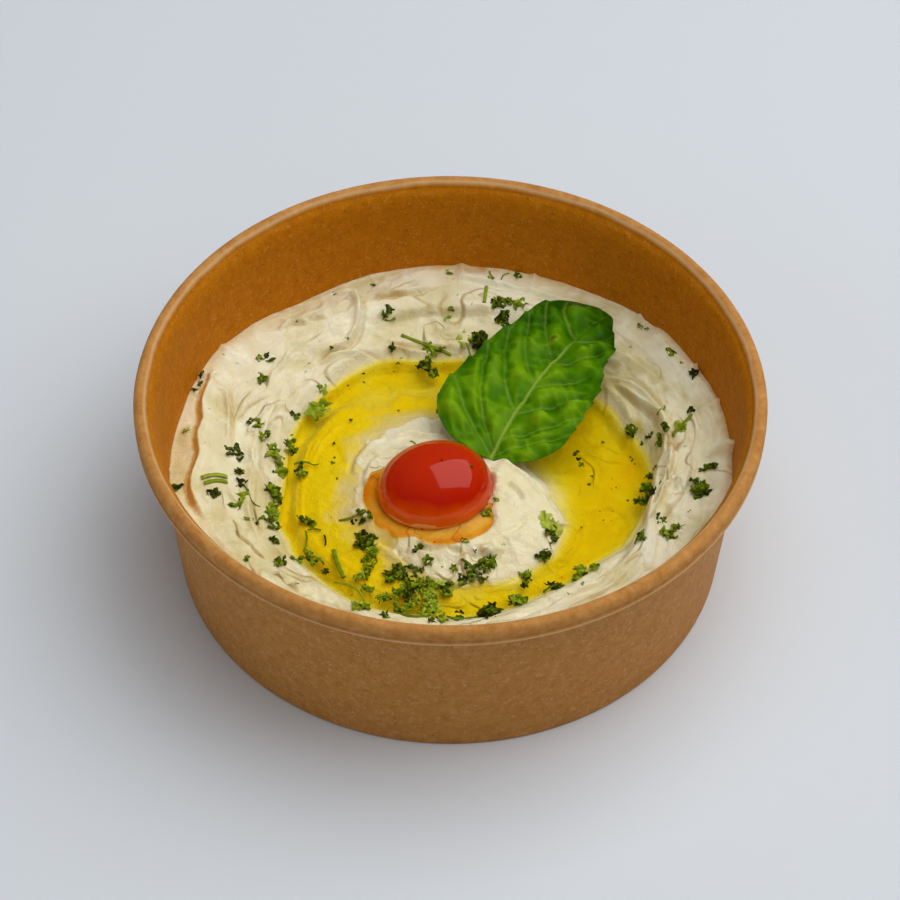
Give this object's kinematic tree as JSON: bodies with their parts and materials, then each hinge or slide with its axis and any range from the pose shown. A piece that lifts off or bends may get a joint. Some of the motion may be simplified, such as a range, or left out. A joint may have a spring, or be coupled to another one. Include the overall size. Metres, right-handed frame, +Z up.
{
  "type": "bowl of hummus",
  "caption": "Hummus swirled in a round kraft paper bowl, with a pool of olive oil round its middle mound, half a cherry tomato and a basil leaf on top.",
  "frame": {"origin": "middle of the ring the bowl stands on", "axes": "+Z up out of the bowl; the basil leaf lies towards +X +Y and the tomato half just towards -Y of the middle"},
  "size_m": [0.15, 0.15, 0.0515],
  "materials": {
    "kraft_paper": "uncoated brown kraft board, matt",
    "hummus": "smooth pale paste with a soft sheen",
    "olive_oil": "clear yellow oil, wet gloss",
    "tomato": "tight red skin, wet gloss",
    "basil": "fresh green leaf, satin"
  },
  "bodies": {
    "root": {"bowl_wall": "kraft_paper", "bowl_base": "kraft_paper", "hummus": "hummus", "olive_oil": "olive_oil", "tomato_half": "tomato", "basil_leaf": "basil"}
  },
  "joints": []
}
